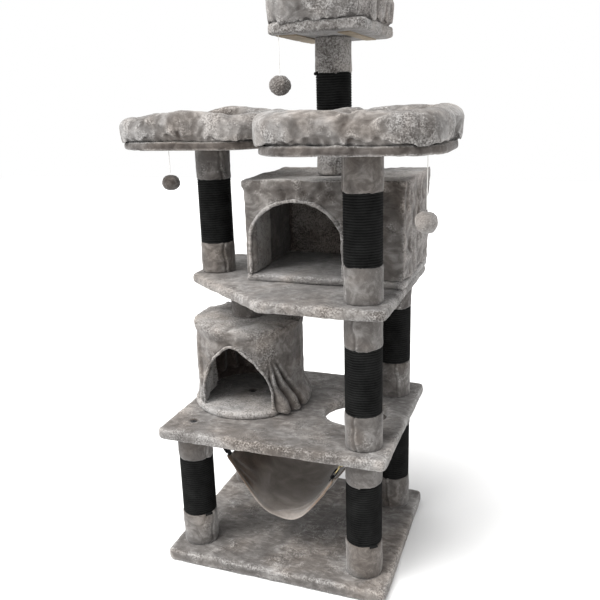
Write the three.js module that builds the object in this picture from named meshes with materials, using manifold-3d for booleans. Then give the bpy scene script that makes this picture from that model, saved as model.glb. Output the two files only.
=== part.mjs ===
// Cat tree: plush-covered boards on rope-wound posts, with a round den, a box den, two side perches,
// a top nest, a clip-on hammock and three hanging pom-poms.
// Millimetres. +X is right, +Y is back, +Z is up. The origin is the centre of the base's underside.

import * as THREE from 'three';
import { mergeVertices } from 'three/addons/utils/BufferGeometryUtils.js';
import Module from 'manifold-3d';

// ---- driving dimensions -------------------------------------------------------------------------

const GAP = 0.3; // left between faces that touch

const BASE = { width: 600, depth: 500, top: 31, corner: 14, edge: 5 };
const BOARD_EDGE = 8; // the soft edge of a plush-covered platform

const MIDDLE = { x: -6, y: 12, width: 608, depth: 500, bottom: 352, top: 382, corner: 16 };
const PASS_HOLE = { x: 160, y: 14, radius: 83, sides: 24 };

const UPPER = { left: -302, right: 296, front: -234, back: 268, bottom: 716, top: 744, corner: 20 };
const UPPER_CUT = { x: -12, y: -5 }; // where the cut-off corner meets the front and the left edge

const POST = { radius: 46, ropeRadius: 44.6, grooveRadius: 41, boreRadius: 37, cap: 12, screwHole: 4.5 };
const POST_SEGMENTS = 16;
const DEN_SEGMENTS = 32;
const BOLT_SEGMENTS = 12;
const DOOR_STEPS = 18;

const LEFT_X = -238;
const RIGHT_X = 228;
const FRONT_Y = -164;
const BACK_Y = 169;

const ROUND_DEN = { x: -150, y: 28, radius: 150, wall: 22, floor: 18, roofBottom: 602, roofTop: 628 };
const ROUND_LIP = { floor: 10, roof: 4 }; // how far the floor and the roof stand out past the wall
const ROUND_DOOR = { facing: -86, width: 196, spring: 450, top: 584, fullness: 1.5 };

const BOX_DEN = { left: -118, right: 301, front: -50, back: 255, floor: 18, wall: 18, top: 1006, roof: 20 };
const BOX_ROOF_LEFT = -126; // the roof stands out past the left wall
const BOX_INSET = 3; // the walls stand this far inside the floor and the roof
const BOX_DOOR = { x: 22, width: 250, spring: 850, top: 955 };

const PERCH = { width: 410, depth: 320, corner: 105, bottom: 1080, board: 22, rim: 78, rimHeight: 70 };
const PERCH_SHIFT = -9; // the perch board's centre, to the left of its post
const UPPER_LEFT = { x: -242, y: 47 };

const TOP_POST = { x: 81, y: 107 };
const NEST = { width: 246, depth: 316, corner: 36, bottom: 1340, board: 28, rim: 66, rimHeight: 88 };
const RIM_OVERHANG = 8;
const HOLLOW_CORNER = 20; // the smallest corner radius of a rim's hollow

const BOLT = { headRadius: 7, headHeight: 5, shankRadius: 4, recessRadius: 8.5, recessDepth: 7 };
const BOLT_LENGTH = { post: 46, den: 37 };

const HAMMOCK = { left: -150, right: 152, back: 205, corner: 290, cloth: 4 };
const HAMMOCK_FRONT = { left: -150, right: -195 }; // its front hem hangs askew
const HAMMOCK_SAG = { endHems: 148, sideHems: 22, belly: 14 };
const HAMMOCK_FULLNESS = 2.2; // 1 would hang as a V, and more is rounder
const HOOK = { lean: 32, ringRadius: 6, wire: 1.5, shank: 12, play: 1 };
const CLIP = { width: 27, height: 30, bar: 3, corner: 5 };
const STRAP = { width: 10, height: 24, bar: 2.2, breadth: 17, corner: 3.2 };

const STRING_RADIUS = 0.9;
const STRING_PLAY = 1; // left at both ends of a string, so that it and its ball can swing

// ---- materials ----------------------------------------------------------------------------------

function material(color, roughness, metalness = 0) {
  return new THREE.MeshStandardMaterial({ color, roughness, metalness });
}

const PLUSH = material(0x8f8a86, 0.95);
const PLUSH_LIGHT = material(0xa09b96, 0.95);
const VELVET = material(0x8b8178, 0.9);
const ROPE = material(0x17191a, 0.85);
const WEBBING = material(0x1b1b1c, 0.8);
const BRASS = material(0xb79a4b, 0.35, 0.9);
const STEEL = material(0x2a2a2b, 0.45, 0.8);
const STRING = material(0xe9e8e4, 0.8);

// ---- solids and booleans ------------------------------------------------------------------------

const wasm = await Module();
wasm.setup();

// Merges a geometry's shared corners, drops its empty triangles and turns its faces outwards.
function closed(source) {
  const bare = new THREE.BufferGeometry();
  bare.setAttribute('position', source.getAttribute('position').clone());
  if (source.index) bare.setIndex(source.index.clone());
  const merged = mergeVertices(bare, 1e-3);
  const corner = (i) => new THREE.Vector3().fromBufferAttribute(merged.getAttribute('position'), i);
  const faces = [];
  let volume = 0;
  for (let i = 0; i < merged.index.count; i += 3) {
    const [a, b, c] = [0, 1, 2].map((k) => merged.index.getX(i + k));
    if (a === b || b === c || c === a) continue;
    faces.push([a, b, c]);
    volume += corner(a).dot(corner(b).cross(corner(c)));
  }
  merged.setIndex(faces.flatMap(([a, b, c]) => (volume > 0 ? [a, b, c] : [a, c, b])));
  return merged;
}

function toManifold(source) {
  const geometry = closed(source);
  const vertProperties = new Float32Array(geometry.getAttribute('position').array);
  const triVerts = new Uint32Array(geometry.index.array);
  return new wasm.Manifold(new wasm.Mesh({ numProp: 3, vertProperties, triVerts }));
}

function fromManifold(manifold) {
  const mesh = manifold.getMesh();
  const geometry = new THREE.BufferGeometry();
  geometry.setAttribute('position', new THREE.BufferAttribute(new Float32Array(mesh.vertProperties), 3));
  geometry.setIndex(new THREE.BufferAttribute(new Uint32Array(mesh.triVerts), 1));
  return geometry;
}

function cut(body, ...cutters) {
  return fromManifold(cutters.reduce((left, cutter) => left.subtract(toManifold(cutter)), toManifold(body)));
}

// ---- shapes -------------------------------------------------------------------------------------

// A polygon, listed counter-clockwise, with every corner rounded.
function roundedOutline(corners, radius) {
  const shape = new THREE.Shape();
  corners.forEach((point, i) => {
    const tip = new THREE.Vector2(...point);
    const before = new THREE.Vector2(...corners.at(i - 1)).sub(tip).normalize();
    const after = new THREE.Vector2(...corners[(i + 1) % corners.length]).sub(tip).normalize();
    const half = Math.acos(before.dot(after)) / 2;
    const reach = radius / Math.tan(half);
    const centre = before.clone().add(after).normalize().multiplyScalar(radius / Math.sin(half)).add(tip);
    const start = before.multiplyScalar(reach).add(tip).sub(centre).angle();
    const end = after.multiplyScalar(reach).add(tip).sub(centre).angle();
    shape.absarc(centre.x, centre.y, radius, start, end, false);
  });
  shape.closePath();
  return shape;
}

function roundedRectangle(x, y, width, depth, radius) {
  const [w, d] = [width / 2, depth / 2];
  return roundedOutline([[x - w, y - d], [x + w, y - d], [x + w, y + d], [x - w, y + d]], radius);
}

function disc(x, y, radius) {
  return new THREE.Shape().absarc(x, y, radius, 0, 2 * Math.PI, false);
}

// An outline pulled up from one height to another, with its edges rounded by `edge`. A rounded corner
// has twice `curveSegments` sides, and so has a full circle.
function slab(shape, bottom, top, edge = 0, curveSegments = 3) {
  const geometry = new THREE.ExtrudeGeometry(shape, {
    depth: top - bottom - 2 * edge,
    bevelEnabled: edge > 0,
    bevelThickness: edge,
    bevelSize: edge,
    bevelOffset: -edge,
    bevelSegments: 2,
    curveSegments,
  });
  return closed(geometry.translate(0, 0, bottom + edge));
}

// A closed profile of [radius, height] pairs turned about the vertical axis.
function turned(profile, segments) {
  const points = [...profile, profile[0]].map(([radius, height]) => new THREE.Vector2(radius, height));
  return closed(new THREE.LatheGeometry(points, segments).rotateX(Math.PI / 2));
}

// A doorway with an arched head, as a prism that runs from y = 0 towards -Y.
function doorway(x, width, bottom, spring, top, length, fullness = 2) {
  const points = [new THREE.Vector2(x - width / 2, bottom), new THREE.Vector2(x + width / 2, bottom)];
  const power = (value) => Math.sign(value) * Math.abs(value) ** (2 / fullness);
  for (let i = 0; i <= DOOR_STEPS; i++) {
    const turn = (Math.PI * i) / DOOR_STEPS;
    const [across, up] = [power(Math.cos(turn)), i % DOOR_STEPS ? power(Math.sin(turn)) : 0];
    points.push(new THREE.Vector2(x + (width / 2) * across, spring + (top - spring) * up));
  }
  const prism = new THREE.ExtrudeGeometry(new THREE.Shape(points), { depth: length, bevelEnabled: false });
  return prism.rotateX(Math.PI / 2);
}

// ---- the model ----------------------------------------------------------------------------------

const tree = new THREE.Group();

function add(name, geometry, look, parent = tree) {
  const mesh = new THREE.Mesh(geometry, look);
  mesh.name = name;
  parent.add(mesh);
  return mesh;
}

// A recess for a bolt's head and a clearance hole for its shank, down from the surface at `top`.
function boltHole(x, y, top, depth) {
  const { recessRadius, recessDepth } = BOLT;
  const floor = top - recessDepth;
  const profile = [
    [0, top - depth - 1],
    [POST.screwHole, top - depth - 1],
    [POST.screwHole, floor],
    [recessRadius, floor],
    [recessRadius, top + 1],
    [0, top + 1],
  ];
  return turned(profile, BOLT_SEGMENTS).translate(x, y, 0);
}

function bolt(name, x, y, top, length) {
  const { headRadius, headHeight, shankRadius, recessDepth } = BOLT;
  const seat = top - recessDepth + GAP;
  const profile = [
    [0, seat - length],
    [shankRadius, seat - length],
    [shankRadius, seat],
    [headRadius, seat],
    [headRadius, seat + headHeight],
    [0, seat + headHeight],
  ];
  add(name, turned(profile, BOLT_SEGMENTS), STEEL).position.set(x, y, 0);
}

function base() {
  const outline = roundedRectangle(0, 0, BASE.width, BASE.depth, BASE.corner);
  add('base_board', slab(outline, 0, BASE.top, BASE.edge), PLUSH);
}

function middlePlatform() {
  const { x, y, width, depth, bottom, top, corner } = MIDDLE;
  const outline = roundedRectangle(x, y, width, depth, corner);
  const hole = disc(PASS_HOLE.x, PASS_HOLE.y, PASS_HOLE.radius).getPoints(PASS_HOLE.sides / 2);
  outline.holes.push(new THREE.Path(hole));
  const board = slab(outline, bottom, top, BOARD_EDGE, 4);
  const places = [[LEFT_X, FRONT_Y], [LEFT_X, BACK_Y], [ROUND_DEN.x, ROUND_DEN.y]];
  add('middle_platform', cut(board, ...places.map((place) => boltHole(...place, top, top - bottom))), PLUSH);
  bolt('bolt_front_left', LEFT_X, FRONT_Y, top, BOLT_LENGTH.post);
  bolt('bolt_back_left', LEFT_X, BACK_Y, top, BOLT_LENGTH.post);
}

function upperPlatform() {
  const { left, right, front, back, bottom, top, corner } = UPPER;
  const corners = [[UPPER_CUT.x, front], [right, front], [right, back], [left, back], [left, UPPER_CUT.y]];
  add('upper_platform', slab(roundedOutline(corners, corner), bottom, top, BOARD_EDGE), PLUSH);
}

// A cardboard tube with plush ends and closed caps; a wound post has a groove for its rope.
function post(name, x, y, from, to, rope) {
  const [bottom, top] = [from + GAP, to - GAP];
  const { radius, ropeRadius, grooveRadius, boreRadius, cap, screwHole } = POST;
  const step = (height, first, second) => [[first, height], [second, height]];
  const groove = rope ? [...step(rope[0], radius, grooveRadius), ...step(rope[1], grooveRadius, radius)] : [];
  const profile = [
    [screwHole, bottom],
    [radius, bottom],
    ...groove,
    [radius, top],
    [screwHole, top],
    [screwHole, top - cap],
    [boreRadius, top - cap],
    [boreRadius, bottom + cap],
    [screwHole, bottom + cap],
  ];
  add(`post_${name}`, turned(profile, POST_SEGMENTS), PLUSH).position.set(x, y, 0);
  if (!rope) return;
  const [inner, low, high] = [grooveRadius + GAP, rope[0] + GAP, rope[1] - GAP];
  const wrap = turned([[inner, low], [ropeRadius, low], [ropeRadius, high], [inner, high]], POST_SEGMENTS);
  add(`rope_${name}`, wrap, ROPE).position.set(x, y, 0);
}

function posts() {
  const lower = [BASE.top, MIDDLE.bottom];
  const middle = [MIDDLE.top, UPPER.bottom];
  const upper = [UPPER.top, PERCH.bottom];
  post('front_left', LEFT_X, FRONT_Y, ...lower, [122, 286]);
  post('front_right', RIGHT_X, FRONT_Y, ...lower, [123, 288]);
  post('back_right', RIGHT_X, BACK_Y, ...lower, [125, 288]);
  post('back_left', LEFT_X, BACK_Y, ...lower, [122, 286]);
  post('middle_front', RIGHT_X, FRONT_Y, ...middle, [472, 638]);
  post('middle_back', RIGHT_X, BACK_Y, ...middle, [484, 641]);
  post('middle_short', ROUND_DEN.x, ROUND_DEN.y, ROUND_DEN.roofTop, UPPER.bottom, null);
  post('upper_left', UPPER_LEFT.x, UPPER_LEFT.y, ...upper, [827, 998]);
  post('upper_right', RIGHT_X, FRONT_Y, ...upper, [830, 996]);
  post('top', TOP_POST.x, TOP_POST.y, BOX_DEN.top, NEST.bottom, [1092, 1257]);
}

function roundDen() {
  const { x, y, radius, wall, floor, roofBottom, roofTop } = ROUND_DEN;
  const ground = MIDDLE.top + GAP;
  const floorTop = ground + floor;
  const disk = slab(disc(x, y, radius + ROUND_LIP.floor), ground, floorTop, 4, DEN_SEGMENTS / 2);
  add('round_den_floor', cut(disk, boltHole(x, y, floorTop, floor)), PLUSH_LIGHT);
  bolt('bolt_round_den', x, y, floorTop, BOLT_LENGTH.den);

  const tube = turned([
    [radius - wall, floorTop + GAP],
    [radius, floorTop + GAP],
    [radius, roofBottom - GAP],
    [radius - wall, roofBottom - GAP],
  ], DEN_SEGMENTS);
  const { width, spring, top, fullness } = ROUND_DOOR;
  const door = doorway(0, width, floorTop - 1, spring, top, 2 * radius, fullness);
  door.rotateZ(THREE.MathUtils.degToRad(ROUND_DOOR.facing + 90));
  add('round_den_wall', cut(tube, door).translate(x, y, 0), PLUSH);
  const lid = slab(disc(x, y, radius + ROUND_LIP.roof), roofBottom, roofTop, 8, DEN_SEGMENTS / 2);
  add('round_den_roof', lid, PLUSH);
}

function boxDen() {
  const { left, right, front, back, floor, wall, top, roof } = BOX_DEN;
  const ground = UPPER.top + GAP;
  const floorTop = ground + floor;
  const panel = (name, x0, x1, y0, y1) => {
    const [z0, z1] = [floorTop + GAP, top - roof - GAP];
    const box = new THREE.BoxGeometry(x1 - x0, y1 - y0, z1 - z0);
    box.translate((x0 + x1) / 2, (y0 + y1) / 2, (z0 + z1) / 2);
    if (name) add(name, closed(box), PLUSH);
    return box;
  };
  const footprint = (west, corner) =>
    roundedRectangle((west + right) / 2, (front + back) / 2, right - west, back - front, corner);
  add('box_den_floor', slab(footprint(left, 12), ground, floorTop, 4), PLUSH_LIGHT);
  const [x0, x1, y0, y1] = [left + BOX_INSET, right - BOX_INSET, front + BOX_INSET, back - BOX_INSET];
  panel('box_den_left_wall', x0, x0 + wall, y0 + wall + GAP, y1 - wall - GAP);
  panel('box_den_right_wall', x1 - wall, x1, y0 + wall + GAP, y1 - wall - GAP);
  panel('box_den_back_wall', x0, x1, y1 - wall, y1);
  const door = doorway(BOX_DOOR.x, BOX_DOOR.width, floorTop - 1, BOX_DOOR.spring, BOX_DOOR.top, 200);
  add('box_den_front_wall', cut(panel('', x0, x1, y0, y0 + wall), door.translate(0, y0 + 100, 0)), PLUSH);
  add('box_den_roof', slab(footprint(BOX_ROOF_LEFT, 10), top - roof, top, 6), PLUSH);
}

// A covered board with a stuffed rim all the way round it.
function nest(name, x, y, size) {
  const { width, depth, corner, bottom, board, rim, rimHeight } = size;
  const boardTop = bottom + GAP + board;
  add(`${name}_board`, slab(roundedRectangle(x, y, width, depth, corner), bottom + GAP, boardTop, 6), PLUSH);
  const outset = 2 * RIM_OVERHANG;
  const ring = roundedRectangle(x, y, width + outset, depth + outset, corner + RIM_OVERHANG);
  const inset = rim - RIM_OVERHANG;
  const hollowCorner = Math.max(corner - inset, HOLLOW_CORNER);
  ring.holes.push(roundedRectangle(x, y, width - 2 * inset, depth - 2 * inset, hollowCorner));
  add(`${name}_rim`, slab(ring, boardTop + GAP, boardTop + GAP + rimHeight, 0.36 * rim), PLUSH_LIGHT);
}

// A flat closed link in the XZ plane, its middle at the origin.
function link({ width, height, bar, corner }, breadth) {
  const outline = roundedRectangle(0, 0, width, height, corner);
  outline.holes.push(roundedRectangle(0, 0, width - 2 * bar, height - 2 * bar, corner - bar));
  return slab(outline, -breadth / 2, breadth / 2, 0, 1).rotateX(Math.PI / 2);
}

// One corner's screw eye, with the clip and the webbing loop that hang from it, leaning inwards.
function hammockHook(name, x, y, lean) {
  const { ringRadius, wire, shank } = HOOK;
  const ringHeight = MIDDLE.bottom - GAP - shank - ringRadius - wire;
  const stem = new THREE.CylinderGeometry(2, 3.5, shank + wire, 8).rotateX(Math.PI / 2);
  stem.translate(0, 0, ringRadius + wire + shank / 2 - wire / 2);
  const ring = new THREE.TorusGeometry(ringRadius, wire, 6, 10).rotateX(Math.PI / 2);
  const eye = fromManifold(toManifold(ring).add(toManifold(stem)));
  add(`hook_${name}`, eye, BRASS).position.set(x, y, ringHeight);

  const tilt = THREE.MathUtils.degToRad(lean);
  const clear = HOOK.play + (CLIP.bar / 2) * Math.abs(Math.sin(tilt));
  const chain = new THREE.Group();
  chain.position.set(x, y, ringHeight - ringRadius + wire + clear);
  chain.rotation.y = tilt;
  tree.add(chain);
  const clip = link(CLIP, CLIP.bar).rotateZ(Math.PI / 2);
  const clipMiddle = CLIP.bar - CLIP.height / 2;
  add(`clip_${name}`, clip, BRASS, chain).position.z = clipMiddle;
  const strap = link(STRAP, STRAP.breadth);
  const barTop = clipMiddle - CLIP.height / 2 + CLIP.bar;
  add(`strap_${name}`, strap, WEBBING, chain).position.z = barTop + HOOK.play + STRAP.bar - STRAP.height / 2;
}

// The cloth hangs from its corners: `across` and `along` run from -1 to 1 over its width and length.
function hammockHeight(across, along) {
  const endHems = HAMMOCK_SAG.endHems * (1 - Math.abs(across) ** HAMMOCK_FULLNESS);
  const sideHems = HAMMOCK_SAG.sideHems * (1 - along ** 2) * Math.abs(across) ** 1.5;
  const belly = HAMMOCK_SAG.belly * (1 - along ** 2) * (1 - across ** 2);
  return HAMMOCK.corner - endHems - sideHems - belly;
}

function hammock() {
  const { left, right, back, cloth } = HAMMOCK;
  const steps = 10;
  const row = steps + 1;
  const positions = [];
  for (const drop of [0, cloth]) {
    for (let j = 0; j <= steps; j += 1) {
      for (let i = 0; i <= steps; i += 1) {
        const [across, along] = [(2 * i) / steps - 1, (2 * j) / steps - 1];
        const x = left + ((right - left) * i) / steps;
        const front = HAMMOCK_FRONT.left + ((HAMMOCK_FRONT.right - HAMMOCK_FRONT.left) * i) / steps;
        const y = front + ((back - front) * j) / steps;
        positions.push(x, y, hammockHeight(across, along) - drop);
      }
    }
  }
  const faces = [];
  const quad = (a, b, c, d) => faces.push(a, b, c, a, c, d);
  const under = row * row;
  for (let j = 0; j < steps; j += 1) {
    for (let i = 0; i < steps; i += 1) {
      const a = j * row + i;
      quad(a, a + 1, a + row + 1, a + row);
      quad(under + a, under + a + row, under + a + row + 1, under + a + 1);
    }
  }
  const last = steps * row;
  for (let i = 0; i < steps; i += 1) {
    quad(under + i, under + i + 1, i + 1, i);
    quad(last + i, last + i + 1, under + last + i + 1, under + last + i);
    const [a, b] = [i * row, (i + 1) * row];
    quad(under + b, under + a, a, b);
    quad(a + steps, under + a + steps, under + b + steps, b + steps);
  }
  const geometry = new THREE.BufferGeometry();
  geometry.setAttribute('position', new THREE.Float32BufferAttribute(positions, 3));
  geometry.setIndex(faces);
  add('hammock', closed(geometry), VELVET);

  const reach = 0.85 * (CLIP.height + STRAP.height);
  const swing = reach * Math.sin(THREE.MathUtils.degToRad(HOOK.lean));
  hammockHook('front_left', left - swing, HAMMOCK_FRONT.left + STRAP.breadth / 2, -HOOK.lean);
  hammockHook('front_right', right + swing, HAMMOCK_FRONT.right + STRAP.breadth / 2, HOOK.lean);
  hammockHook('back_left', left - swing, back - STRAP.breadth / 2, -HOOK.lean);
  hammockHook('back_right', right + swing, back - STRAP.breadth / 2, HOOK.lean);
}

// A stuffed ball on a length of string that hangs straight down from a board's underside.
function pompom(name, x, y, ceiling, length, diameter) {
  const [top, bottom] = [ceiling - STRING_PLAY, ceiling - STRING_PLAY - length];
  const route = new THREE.LineCurve3(new THREE.Vector3(x, y, top), new THREE.Vector3(x, y, bottom));
  const section = disc(0, 0, STRING_RADIUS);
  const steps = Math.round(length / (6 * STRING_RADIUS));
  const string = new THREE.ExtrudeGeometry(section, { steps, extrudePath: route, curveSegments: 4 });
  add(`string_${name}`, closed(string), STRING);
  const ball = new THREE.SphereGeometry(diameter / 2, 14, 10).rotateX(Math.PI / 2);
  add(`pompom_${name}`, closed(ball), PLUSH_LIGHT).position.set(x, y, bottom - STRING_PLAY - diameter / 2);
}

base();
middlePlatform();
upperPlatform();
posts();
roundDen();
boxDen();
nest('left_perch', UPPER_LEFT.x + PERCH_SHIFT, UPPER_LEFT.y, PERCH);
nest('right_perch', RIGHT_X + PERCH_SHIFT, FRONT_Y, PERCH);
nest('top_nest', TOP_POST.x, TOP_POST.y, NEST);
hammock();
pompom('top', -8, -38, NEST.bottom + GAP, 85, 52);
pompom('left', -295, -88, PERCH.bottom + GAP, 54, 46);
pompom('right', 384, -250, PERCH.bottom + GAP, 108, 48);

export default tree;
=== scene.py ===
"""Cat tree: plush-covered boards and dens on rope-wound posts, with padded perches, a clip-on hammock
and hanging pom-poms. Metres; +X is right, +Y is back, +Z is up."""

import math

import bmesh
import bpy
import numpy as np
from mathutils import Matrix, Vector


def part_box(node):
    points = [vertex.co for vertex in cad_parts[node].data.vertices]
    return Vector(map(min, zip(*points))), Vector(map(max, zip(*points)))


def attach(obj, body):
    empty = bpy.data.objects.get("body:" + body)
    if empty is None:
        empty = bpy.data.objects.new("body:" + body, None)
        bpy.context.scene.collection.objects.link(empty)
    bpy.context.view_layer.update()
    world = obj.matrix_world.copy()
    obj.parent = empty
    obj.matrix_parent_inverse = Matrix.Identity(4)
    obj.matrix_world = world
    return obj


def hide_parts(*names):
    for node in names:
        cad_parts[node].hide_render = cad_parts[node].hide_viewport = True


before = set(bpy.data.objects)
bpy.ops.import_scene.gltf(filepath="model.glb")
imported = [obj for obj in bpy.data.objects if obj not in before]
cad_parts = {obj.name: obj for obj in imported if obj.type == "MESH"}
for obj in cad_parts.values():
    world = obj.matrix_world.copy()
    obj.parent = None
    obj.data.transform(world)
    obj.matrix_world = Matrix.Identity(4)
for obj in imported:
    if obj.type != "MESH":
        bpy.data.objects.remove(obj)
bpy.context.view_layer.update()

# ---- camera, floor and light ----

CAMERA_PLACE = (0.6254, -1.6472, 1.18425)
CAMERA_LENS = 41.645  # mm
CAMERA_SENSOR = 36  # mm
CAMERA_TURN = (20.41, 15.79, -1.70)  # yaw, pitch and roll, in degrees
WORLD_LIGHT = 1.0
OVERHEAD_LIGHT = 4.5  # W/m2
OVERHEAD_COLOUR = (1, 0.995, 0.985)
OVERHEAD_SPREAD = math.radians(42)
OVERHEAD_AIM = (0.3, 0.36, -1)
FRONT_LIGHT = 31  # W
FRONT_LIGHT_PLACE = (-1.3, -1.9, 2.5)
FRONT_LIGHT_TARGET = (0, 0, 1.2)
FRONT_LIGHT_SIZE = 1.2
FLOOR_REACH = 9
FLOOR_GREY = 0.7


def link(name, data):
    """A new object in the scene."""
    made = bpy.data.objects.new(name, data)
    bpy.context.scene.collection.objects.link(made)
    return made


def make_camera():
    data = bpy.data.cameras.new("camera")
    data.lens, data.sensor_width = CAMERA_LENS, CAMERA_SENSOR
    data.clip_start, data.clip_end = 0.05, 50
    yaw, pitch, roll = (math.radians(angle) for angle in CAMERA_TURN)
    ahead = Vector((-math.sin(yaw) * math.cos(pitch), math.cos(yaw) * math.cos(pitch), -math.sin(pitch)))
    right = Vector((math.cos(yaw), math.sin(yaw), 0))
    up = right.cross(ahead)
    right, up = math.cos(roll) * right + math.sin(roll) * up, math.cos(roll) * up - math.sin(roll) * right
    turn = Matrix((right, up, -ahead)).transposed()
    camera = link("camera", data)
    camera.matrix_world = Matrix.Translation(CAMERA_PLACE) @ turn.to_4x4()
    bpy.context.scene.camera = camera


def make_light(kind, name, power, colour, place, target, **settings):
    data = bpy.data.lights.new(name, kind)
    data.energy, data.color = power, colour
    for key, value in settings.items():
        setattr(data, key, value)
    light = link(name, data)
    light.location = place
    light.rotation_mode = "QUATERNION"
    light.rotation_quaternion = (Vector(target) - Vector(place)).to_track_quat("-Z", "Y")


def make_studio():
    world = bpy.data.worlds.new("world")
    world.use_nodes = True
    background = world.node_tree.nodes["Background"].inputs
    background["Color"].default_value = (1, 1, 1, 1)
    background["Strength"].default_value = WORLD_LIGHT
    bpy.context.scene.world = world
    bpy.context.scene.view_settings.view_transform = "Standard"
    sun = ("SUN", "overhead", OVERHEAD_LIGHT, OVERHEAD_COLOUR)
    make_light(*sun, (0, 0, 0), OVERHEAD_AIM, angle=OVERHEAD_SPREAD)
    front = ("AREA", "front", FRONT_LIGHT, (1, 1, 1))
    make_light(*front, FRONT_LIGHT_PLACE, FRONT_LIGHT_TARGET, shape="DISK", size=FRONT_LIGHT_SIZE)
    corners = np.array([(-1, -1, 0), (1, -1, 0), (1, 1, 0), (-1, 1, 0)], float)
    floor = grid_piece("floor", FLOOR_REACH * corners, [[0, 1, 2, 3]])
    paint = Paint("floor")
    paint.connect(paint.shader, {"Base Color": (FLOOR_GREY, FLOOR_GREY, FLOOR_GREY, 1), "Roughness": 0.9})
    floor.data.materials.append(paint.material)


# ---- mesh tools ----


def noise(points, size, seed):
    """A smooth random value from -1 to 1 for each point, much alike over `size` metres."""
    table = np.random.default_rng(seed).uniform(-1, 1, (32, 32, 32))
    scaled = points / size + 100
    cell = np.floor(scaled).astype(int)
    part = scaled - cell
    part = part * part * (3 - 2 * part)
    total = np.zeros(len(points))
    for corner in np.ndindex(2, 2, 2):
        weight = np.prod(np.where(corner, part, 1 - part), axis=1)
        total += weight * table[tuple(((cell + corner) % 32).T)]
    return total


def dip(distance, width):
    """1 at distance 0, falling to 0 over about `width`."""
    return np.exp(-((distance / width) ** 2))


def step(value, low, high):
    part = np.clip((value - low) / (high - low), 0, 1)
    return part * part * (3 - 2 * part)


def full_turn(count):
    return np.linspace(0, 2 * np.pi, count, endpoint=False)


def turned(centre, radius, angle, height):
    """Points at a radius and an angle round an upright line through `centre`."""
    x, y = centre[0] + radius * np.cos(angle), centre[1] + radius * np.sin(angle)
    return np.stack(np.broadcast_arrays(x, y, height), axis=-1)


def box(name):
    """The lowest and the highest corner of a CAD node."""
    return [np.array(corner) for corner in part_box(name)]


def placed(name):
    """A CAD node's lowest and highest corner, and its centre as seen from above."""
    low, high = box(name)
    return low, high, (low + high)[:2] / 2


def smooth(mesh):
    mesh.polygons.foreach_set("use_smooth", np.ones(len(mesh.polygons), bool))


def grid_piece(name, points, faces, rounded=True):
    """An object with these faces, shaded smooth if it is `rounded`."""
    mesh = bpy.data.meshes.new(name)
    mesh.from_pydata(np.reshape(points, (-1, 3)).tolist(), [], faces)
    if rounded:
        smooth(mesh)
    mesh.update()
    return link(name, mesh)


def edited_piece(name, edit):
    """The object that a bmesh holds."""
    mesh = bpy.data.meshes.new(name)
    edit.to_mesh(mesh)
    edit.free()
    return link(name, mesh)


def add_box(edit, centre, size, turn=Matrix.Identity(4)):
    place = Matrix.Translation(centre)
    bmesh.ops.create_cube(edit, size=1.0, matrix=turn @ place @ Matrix.Diagonal((*size, 1)))


def wrap_faces(rows, columns, close_rows=True, close_columns=True):
    """Quads of a grid of points that is joined up along its rows, its columns or both."""
    j, i = np.meshgrid(
        np.arange(rows - (not close_rows)), np.arange(columns - (not close_columns)), indexing="ij"
    )
    j2, i2 = (j + 1) % rows, (i + 1) % columns
    corners = [j * columns + i, j * columns + i2, j2 * columns + i2, j2 * columns + i]
    return np.stack([c.ravel() for c in corners], axis=1)


def points_of(piece, what="co"):
    values = np.empty(3 * len(piece.data.vertices), np.float32)
    piece.data.vertices.foreach_get(what, values)
    return values.reshape(-1, 3).astype(float)


def points_and_normals(piece):
    return points_of(piece), points_of(piece, "normal")


def set_points(piece, points):
    piece.data.vertices.foreach_set("co", points.astype(np.float32).ravel())
    piece.data.update()


def apply_modifiers(piece):
    bpy.context.view_layer.update()
    depsgraph = bpy.context.evaluated_depsgraph_get()
    mesh = bpy.data.meshes.new_from_object(piece.evaluated_get(depsgraph))
    piece.modifiers.clear()
    piece.data = mesh
    smooth(mesh)


def remesh(piece, voxel, smoothing):
    modifier = piece.modifiers.new("remesh", "REMESH")
    modifier.mode, modifier.voxel_size = "VOXEL", voxel
    modifier = piece.modifiers.new("smooth", "SMOOTH")
    modifier.factor, modifier.iterations = 0.5, smoothing
    apply_modifiers(piece)


def subdivide(piece):
    piece.modifiers.new("subdivide", "SUBSURF").levels = 1
    apply_modifiers(piece)


def outward(piece):
    """Turns every face of a closed piece outwards."""
    edit = bmesh.new()
    edit.from_mesh(piece.data)
    bmesh.ops.recalc_face_normals(edit, faces=edit.faces)
    edit.to_mesh(piece.data)
    edit.free()
    return piece


def tube(name, rows, closed=False, rounded=True):
    """A skin over rows of points. It is joined end to end if `closed`, and capped if not."""
    total, count = len(rows) * len(rows[0]), len(rows[0])
    faces = wrap_faces(len(rows), count, close_rows=closed).tolist()
    if not closed:
        faces += [list(range(count)), list(range(total - count, total))]
    return outward(grid_piece(name, rows, faces, rounded))


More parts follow.
